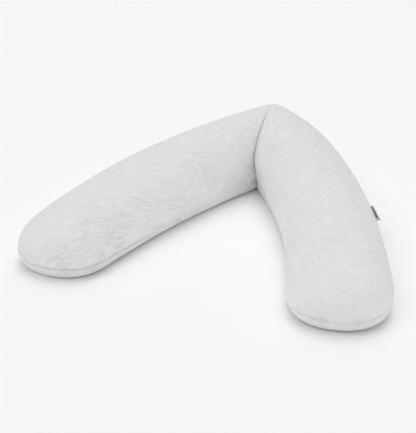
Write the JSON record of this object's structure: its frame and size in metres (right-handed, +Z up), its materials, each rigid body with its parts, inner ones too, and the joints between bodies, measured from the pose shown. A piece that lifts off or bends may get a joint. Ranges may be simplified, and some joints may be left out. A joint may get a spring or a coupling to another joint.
{
  "type": "pregnancy pillow",
  "caption": "Long filled body pillow of white crinkled muslin, folded at its middle into an open V and lying flat, with a seam all round and a blank side tab.",
  "frame": {"origin": "on the floor, under the middle of the pillow's box", "axes": "+Z up; +Y towards the fold, so the V opens to -Y; +X towards the right arm, which carries the tab"},
  "size_m": [1.017, 0.9808, 0.2105],
  "materials": {
    "muslin": "matt white double-gauze cotton with a fine irregular crinkle",
    "tab": "matt woven tape, blank, grey-beige"
  },
  "bodies": {
    "root": {"pillow": "muslin", "label": "tab"}
  },
  "joints": []
}
